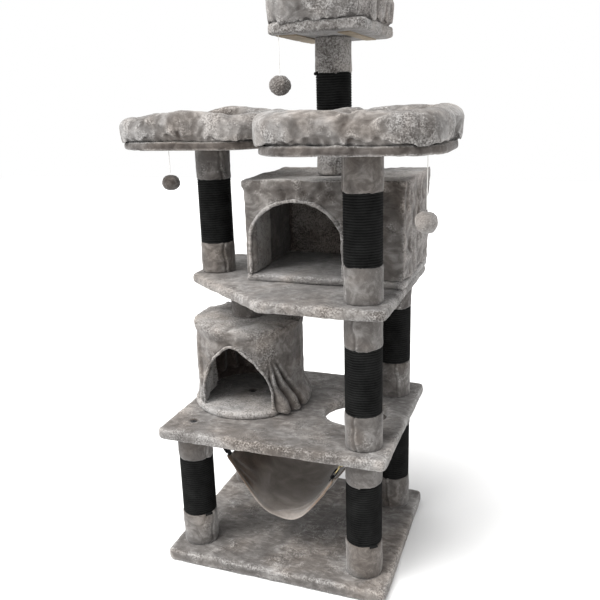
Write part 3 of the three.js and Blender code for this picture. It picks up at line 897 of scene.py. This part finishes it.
def box_den_shape(points, normals, moved):
    """One slack cloth over roof and walls, creased at the right. Painted light on the lining, the far wall
    inside and the roof; painted highlights on crumples and puckers; painted shade inside, on the front and on
    the right side.
    """
    low, high = box("box_den_left_wall"), box("box_den_right_wall")
    roof_low, roof_high = box("box_den_roof")
    front_low, front_high = box("box_den_front_wall")
    inside = (points[:, 0] > low[1][0] - 0.004) & (points[:, 0] < high[0][0] + 0.004)
    inside &= (points[:, 1] > front_high[1] + 0.002) & (points[:, 1] < box("box_den_back_wall")[0][1] + 0.003)
    inside &= points[:, 2] < roof_low[2] + 0.003
    right = normals[:, 0] * (points[:, 0] > high[0][0] + 0.008) > 0.4
    front = (normals[:, 1] < -0.4) & (points[:, 1] < front_low[1] + 0.006)
    crumple = 1 - 2.4 * np.abs(noise(points * (1, 1, 0.6), 0.034, 121)) + 0.5 * noise(points, 0.014, 122)
    rays = np.arctan2(points[:, 2] - 0.86, points[:, 0] - BOX_DOOR_X)
    pull = np.sin(26 * rays + 2 * noise(points, 0.08, 123)) * step(points[:, 2], 0.9, 0.97)
    slack = 0.0038 * noise(points, 0.13, 124) * (right | front | (normals[:, 0] < -0.4))
    eaves = dip(points[:, 2] - roof_low[2] + 0.003, 0.008) * (right | front)
    change = 0.0055 * right * crumple + 0.0014 * front * pull + slack - 0.0012 * eaves
    moved = moved + normals * change[:, None]
    x = (points[:, 0] - roof_low[0]) / (roof_high[0] - roof_low[0])
    y = (points[:, 1] - roof_low[1]) / (roof_high[1] - roof_low[1])
    middle = 16 * np.clip(x * (1 - x), 0, 1) * np.clip(y * (1 - y), 0, 1)
    top = (normals[:, 2] > 0.3) & (points[:, 2] > roof_low[2])
    moved[:, 2] += top * (0.003 * noise(points, 0.09, 131) - 0.004 * middle + 0.003 * step(y, 0.8, 1.0))
    brow = (points[:, 2] > roof_low[2] - 0.006) & (normals[:, 1] < -0.2)
    gathers = 3 * noise(points, 0.05, 132)
    puckers = np.sin(points[:, 0] / 0.0095 + gathers) * step(noise(points, 0.07, 133), -0.3, 0.5)
    moved[:, 1] -= 0.0022 * brow * puckers
    lined = inside & (points[:, 0] < low[1][0] + 0.012) & (points[:, 1] < LINING_END + 0.004)
    far_wall = inside * (normals[:, 1] < -0.4)
    # painted light on the lining, on the right side and its crumples, on the puckers and on the far wall
    # inside
    extra = 1.0 * lined + 0.2 * right + 0.38 * right * crumple + 0.3 * brow * puckers + 1.0 * far_wall
    # painted light on the roof top and painted shade on the front
    extra += 0.6 * top - 0.32 * front
    # painted brown shade inside past the lining and on the right side
    brown_and_shade = inside * (1 - lined) * np.where(normals[:, 0] > 0.4, 0.9, 0.45) + 0.36 * right
    return moved, extra, brown_and_shade


wall = {side: box(f"box_den_{side}_wall") for side in ("left", "right", "back", "front")}
front_outer, front_inner = wall["front"][0][1], wall["front"][1][1]
sides = []
for side in ("left", "right"):
    low, high = wall[side][0].copy(), wall[side][1].copy()
    low[1], high[1] = front_outer + 0.002, wall["back"][1][1] - 0.002
    sides.append((low, high))
inner_face = wall["left"][1][0]
lining = (
    (inner_face - 0.006, front_inner - 0.006, wall["left"][0][2]),
    (inner_face + 0.006, LINING_END, wall["left"][1][2]),
)
roof = box("box_den_roof")
roof[0][2] -= 0.004
roof[0][0] += 0.004
nodes = [f"box_den_{side}_wall" for side in wall] + ["box_den_roof"]
sources = ["box_den_front_wall", wall["back"], *sides, lining, roof]
cover("box_den_cover", sources, PLUSH, 120, 0.005, 7, 0.0013, box_den_shape, nodes)
cover("box_den_floor_cover", ["box_den_floor"], PLUSH_LIGHT, 140)

half, spring, crown = BOX_DOOR
across, up = arch_path(half - 0.001, wall["front"][0][2] + 0.002, spring, crown)
path = np.stack([BOX_DOOR_X + across, 0 * up + front_outer, up], axis=1)
door_edging("box_den_door_edging", path, (0, -1, 0), 0.0046, 150)

# ---- perches and top nest ----

RIM_COLUMNS = 32


def shaded_edge(points, normals, moved):
    """Painted shade, dark and brown, on the board's edge under the bolster, and painted light on the top
    nest's edge.
    """
    edge = (np.abs(normals[:, 2]) < 0.6) * np.where(points[:, 2] > 1.3, -0.4, 1)
    under = normals[:, 2] < -0.5  # drawn tight, so that a string can swing beneath it
    moved[under, 2] = np.maximum(moved[under, 2], points[under, 2] + 0.0002)
    return moved, -0.95 * edge, 0.3 * edge


BOARD_CORNER = {"left_perch": 0.105, "right_perch": 0.105, "top_nest": 0.036}


def past_outline(points, low, high, corner):
    """How far points lie outside a board's rounded outline, seen from above."""
    middle, half = (low + high)[:2] / 2, (high - low)[:2] / 2
    reach = np.abs(points[:, :2] - middle) - (half - corner)
    beyond = np.linalg.norm(np.maximum(reach, 0), axis=1)
    return beyond + np.minimum(reach.max(axis=1), 0) - corner


def stuffed_rim(name, rim, corner, seed, square=2.6, creases=(), lift=None):
    """A stuffed plush bolster sewn round a board: pinned along its seam, then blown up as cloth."""
    low, high, (x, y) = placed(f"{name}_rim")
    width, depth = (high - low)[:2]
    height = high[2] - low[2]
    path, outs = rounded_path(x, y, width - rim, depth - rim, corner, 0.0065)
    section = circle(1, RIM_COLUMNS)
    section = np.sign(section) * np.abs(section) ** (2 / square)
    place = np.concatenate([path, 0 * path[:, :1]], axis=1)
    full = 1 + 0.05 * noise(place, 0.13, seed) + 0.03 * noise(place, 0.05, seed + 1)
    pinch = 0 * full
    for at, reach, deep in creases:
        pinch += deep * dip(np.linalg.norm(path - np.array(at), axis=1), reach)
    tall = (full - pinch) * (1 + (lift(path) if lift is not None else 0))
    wide = (rim / 2 - 0.006) * (full - 0.8 * pinch)[:, None] * section[None, :, 0]
    raised = (height / 2 - 0.0025) * (1 + section[None, :, 1]) * tall[:, None]
    points = np.empty((len(path), RIM_COLUMNS, 3))
    points[:, :, :2] = path[:, None] + wide[:, :, None] * outs[:, None]
    points[:, :, 2] = low[2] + raised
    made = tube(f"{name}_bolster", points, closed=True)
    pinned = np.flatnonzero(np.tile(section[:, 1] < -0.72, len(path)))
    simulate(made, pinned, 18, cap=0.011, pressure=3.0, growth=0.045)
    subdivide(made)
    points, normals = points_and_normals(made)
    seam = dip(points[:, 2] - low[2] - 0.008, 0.013)
    run = np.arctan2(points[:, 1] - y, points[:, 0] - x)
    gathered = step(noise(points, 0.05, seed + 4), -0.4, 0.5)
    tucks = np.sin(run * 46 + 3 * noise(points, 0.06, seed + 3)) * gathered
    dents = noise(points, 0.035, seed + 8)
    swell = 0.0042 * noise(points, 0.085, seed + 5) + 0.0012 * noise(points, 0.018, seed + 6)
    swell += 0.0006 * noise(points, 0.007, seed + 7) + 0.0008 * seam * tucks - 0.0025 * step(dents, 0.35, 0.7)
    points += normals * swell[:, None]
    past = past_outline(points, *box(f"{name}_board"), BOARD_CORNER[name])
    hang = 0.012 + 0.006 * noise(points * (1, 1, 0), 0.12, seed + 12)
    points[:, 2] = np.maximum(points[:, 2], low[2] - 0.001)
    points[:, 2] -= 0.004 * step(low[2] + 0.03 - points[:, 2], 0, 0.03)
    points[:, 2] -= hang * step(past, -0.002, 0.004) * step(low[2] + 0.05 - points[:, 2], 0, 0.045)
    set_points(made, points)
    browner = 0.35 * (name == "top_nest") * step(points[:, 0], 0.17, 0.2)
    # painted shade along the bolster's foot by its seam, with painted highlights on the tucks there; the
    # nest's right end is lighter and browner
    tone = 0.25 * seam * tucks - 0.3 * seam + 1.6 * browner
    finished(made, PLUSH_LIGHT, [f"{name}_rim"], tone=tone, brown_and_shade=browner)
    board = [f"{name}_board"]
    cover(f"{name}_board_cover", board, PLUSH, seed + 9, 0.005, 2, 0.002, shaded_edge)


def right_end_lift(path):
    return 0.14 * step(path[:, 0], 0.24, 0.40) * step(path[:, 1], -0.3, -0.1)


def back_lift(path):
    return 0.1 * step(path[:, 1], 0.02, 0.15) - 0.07 * step(-0.34 - path[:, 0], 0, 0.06)


PERCH_RIM = (0.078, 0.074)  # its thickness, and the radius of its corners
LEFT_CREASES = (((-0.375, -0.075), 0.014, 0.16), ((-0.13, -0.06), 0.02, 0.12), ((-0.33, 0.17), 0.02, 0.14))
RIGHT_CREASES = (((0.075, -0.25), 0.015, 0.14), ((0.235, -0.29), 0.02, 0.08), ((0.2, -0.04), 0.02, 0.12))
stuffed_rim("left_perch", *PERCH_RIM, 200, creases=LEFT_CREASES, lift=back_lift)
stuffed_rim("right_perch", *PERCH_RIM, 220, creases=RIGHT_CREASES, lift=right_end_lift)
nest_low, nest_high = box("top_nest_rim")
NEST_RIM = 0.066
west, east, north = nest_low[0] + NEST_RIM / 2, nest_high[0] - NEST_RIM / 2, nest_high[1] - NEST_RIM / 2
NEST_CREASES = (
    ((east, -0.012), 0.016, 0.2),
    ((east, 0.056), 0.015, 0.26),
    ((east, 0.125), 0.016, 0.24),
    ((east, 0.19), 0.015, 0.2),
    ((0.06, north), 0.016, 0.13),
    ((west, 0.1), 0.016, 0.13),
)
stuffed_rim("top_nest", NEST_RIM, 0.034, 240, square=3.2, creases=NEST_CREASES)

# the bare wood that the cloth leaves uncovered under the top nest, on either side of the post
board_low, board_high = box("top_nest_board")
post_low, post_high = box("post_top")
bare = {
    "left": (post_low[0] - 0.055, post_low[0] - 0.004),
    "right": (post_high[0] + 0.004, board_high[0] - 0.045),
}
for side, (west, east) in bare.items():
    low = np.array((west, board_low[1] + 0.03, board_low[2] - 0.0022))
    high = np.array((east, board_high[1] - 0.03, board_low[2] + 0.0018))
    edit = bmesh.new()
    add_box(edit, (low + high) / 2, high - low)
    bmesh.ops.bevel(edit, geom=edit.edges[:], offset=0.0009, segments=2, affect="EDGES")
    plank = edited_piece(f"top_nest_bare_{side}", edit)
    finished(plank, WOOD)

# ---- hammock ----

HAMMOCK = {"left": -0.15, "right": 0.152, "back": 0.205, "corner": 0.2895}
HAMMOCK_FRONT = (-0.15, -0.195)  # y of its front hem at the left and at the right
HAMMOCK_SAG = {"end_hems": 0.142, "side_hems": 0.022, "belly": 0.014}
HAMMOCK_FULLNESS = 2.2
HAMMOCK_FLAT = (0.448, 0.38)
HAMMOCK_COUNT = 57  # points along each side
HEM = 0.016


def make_hammock():
    """Cloth that hangs by its corners: draped as cloth, then given its thickness and folded hems."""
    count = HAMMOCK_COUNT
    u, v = np.meshgrid(np.linspace(-1, 1, count), np.linspace(-1, 1, count))
    reach = np.abs(u) ** HAMMOCK_FULLNESS
    z = HAMMOCK["corner"] - HAMMOCK_SAG["end_hems"] * (1 - reach)
    sides, belly = HAMMOCK_SAG["side_hems"] * np.abs(u) ** 1.5, HAMMOCK_SAG["belly"] * (1 - u**2)
    z -= (1 - v**2) * (sides + belly)
    x = (HAMMOCK["left"] + HAMMOCK["right"]) / 2 + u * (HAMMOCK["right"] - HAMMOCK["left"]) / 2
    front = np.interp(u, (-1, 1), HAMMOCK_FRONT)
    depth = HAMMOCK["back"] - front
    y = front + depth * (1 + v) / 2
    y -= 0.006 * np.sign(v) * np.abs(v) ** 3 * (1 - reach)
    upper_faces = wrap_faces(count, count, False, False)
    cloth = grid_piece("hammock_cloth", np.stack([x, y, z], axis=2), upper_faces.tolist())
    corner = (np.abs(u) > 0.9) & (np.abs(v) > 0.9)
    simulate(cloth, np.flatnonzero(corner.ravel()), 22, cap=0.005, gravity=1.0, growth=0.03, bending=0.3)
    top, normals = points_and_normals(cloth)
    normals *= np.sign(normals[:, 2:3] + 1e-9)
    u, v = u.ravel(), v.ravel()
    edge = np.minimum((1 - np.abs(u)) * HAMMOCK_FLAT[0], (1 - np.abs(v)) * HAMMOCK_FLAT[1]) / 2
    hem = 1 - step(edge, HEM - 0.002, HEM + 0.003)
    pull = 0.0028 * dip(1 - np.abs(u), 0.55) * dip(1 - np.abs(v), 0.55)
    folds = pull * np.sin(np.arctan2(1.02 - np.abs(v), 1.02 - np.abs(u)) * 15)
    along = np.clip((u + 0.08) / 0.75, 0, 1)
    fold = dip(v + 0.93 - 0.42 * along, 0.05) * step(u, -0.2, 0.0) * step(0.8 - u, 0, 0.3)
    top += normals * (folds + 0.0012 * noise(top, 0.07, 403) + 0.006 * fold)[:, None]
    from_front = (depth * (1 + v.reshape(depth.shape)) / 2).ravel()
    curled = step(u, -0.12, 0.3) * step(1 - u, 0, 0.12)
    top[:, 2] += curled * (0.007 * dip(from_front - 0.024, 0.014) - 0.005 * step(0.02 - from_front, 0, 0.02))
    thick = 0.0022 + 0.0028 * hem - 0.0012 * dip(edge - HEM, 0.003)
    under = top - normals * thick[:, None]
    total = count * count
    number = np.arange(total).reshape(count, count)
    ring = np.concatenate([number[0], number[1:, -1], number[-1, -2::-1], number[-2:0:-1, 0]])
    after = np.roll(ring, -1)
    rim_faces = np.stack([ring, after, after + total, ring + total], axis=1)
    faces = np.concatenate([upper_faces, upper_faces[:, ::-1] + total, rim_faces])
    bpy.data.objects.remove(cloth)
    made = outward(grid_piece("hammock_cloth", np.concatenate([top, under]), faces.tolist()))
    # 1 low in the sag and 0 up under the platform, where its painted shadow falls
    out_of_platform_shadow = step(0.222 - top[:, 2], 0, 0.062)
    # a lighter hem, darker along its stitched groove as painted shade
    tone = 1.1 * hem * step(u, -0.25, 0.15) * (v < -0.6) + 0.25 * hem - 0.6 * dip(edge - HEM, 0.005)
    # painted highlight on the fold, and the platform's painted shadow over the upper cloth
    tone += 0.5 * fold + 0.5 * out_of_platform_shadow - 0.8 * (1 - out_of_platform_shadow)
    # painted brown shade under the platform, partly the cloth's own brown
    shade_by_shape(made, np.tile(tone, 2), np.tile(1 - 0.85 * out_of_platform_shadow, 2))
    subdivide(made)
    finished(made, VELVET, ["hammock"], tone=None)


# ---- the hammock's hooks, clips and straps ----

CORNERS = {"front_left": -1, "front_right": 1, "back_left": -1, "back_right": 1}  # which way is outwards
HOOK_RING = 0.006
HOOK_WIRE = 0.0015
HOOK_STEM = ((0.0016, 0), (0.002, 0.001), (0.003, 0.0022))  # radius, and height above the ring
HOOK_HEAD = ((0.0035, 0.0006), (0.0033, 0))  # radius, and depth below the board
CLIP_WIRE = 0.0015
CLIP_OVAL = (0, 0.003 - 0.015, 0.024, 0.027, 0.0095)  # centre, width, height and corner, below the ring
STRAP_LOOP = (0, -0.0328, 0.0078, 0.0218, 0.0036)  # the same, for the webbing's loop
STRAP_TAIL = ((0, 0, -0.0425), (0, 0, -0.053))
LEAN = math.radians(32)
STRAP_WIDTH = 0.017
STRAP_BAND = [(x, side * STRAP_WIDTH / 2) for x, side in ((-0.0009, -1), (-0.001, 0), (-0.0009, 1))]
STRAP_BAND += [(-x, -y) for x, y in STRAP_BAND]


def leaning(points, pivot, side):
    """Points given below a pivot, swung towards the middle of the hammock."""
    turn = np.array(Matrix.Rotation(side * LEAN, 3, "Y"))
    return np.asarray(points) @ turn.T + pivot


def make_corner(name, side):
    low, high, (x, y) = placed(f"hook_{name}")
    middle = low[2] + HOOK_RING + HOOK_WIRE
    foot, head = middle + HOOK_RING, high[2]
    ring = turned((x, middle), HOOK_RING, full_turn(40), y)[:, [0, 2, 1]]
    eye = sweep(f"hook_{name}_ring", ring, (0, 1, 0), circle(HOOK_WIRE), closed=True)
    profile = [(radius, foot + above) for radius, above in HOOK_STEM]
    profile += [(radius, head - below) for radius, below in HOOK_HEAD]
    stem = turned_piece(f"hook_{name}_stem", (x, y), profile, sides=24)
    hook = joined(f"hook_{name}_eye", [eye, stem])
    smooth(hook.data)
    finished(hook, BRASS, [f"hook_{name}"])

    pivot = np.array([x, y, middle - HOOK_RING + HOOK_WIRE + 0.0018])
    path, _ = rounded_path(*CLIP_OVAL, 0.0012)
    oval = np.stack([0 * path[:, 0], path[:, 0], path[:, 1]], axis=1)
    gate = 1 + 0.45 * step(path[:, 0], 0.0085, 0.0115) * step(0.009 - np.abs(path[:, 1] + 0.012), 0, 0.002)
    ends = leaning((1, 0, 0), 0, side)
    oval = leaning(oval, pivot, side)
    clip = sweep(f"clip_{name}_link", oval, ends, circle(CLIP_WIRE), closed=True, scale=gate)
    finished(clip, BRASS, [f"clip_{name}"])

    path, _ = rounded_path(*STRAP_LOOP, 0.0011)
    loop = leaning(np.stack([path[:, 0], 0 * path[:, 0], path[:, 1]], axis=1), pivot, side)
    tail = leaning(np.linspace(*STRAP_TAIL, 14), pivot, side)
    strap = sweep(f"strap_{name}_loop", loop, (0, 1, 0), STRAP_BAND, closed=True)
    tab = sweep(f"strap_{name}_tab", tail, (0, 1, 0), STRAP_BAND)
    strap = joined(f"strap_{name}_webbing", [strap, tab])
    finished(strap, WEBBING, [f"strap_{name}"])


for name, side in CORNERS.items():
    make_corner(name, side)
make_hammock()
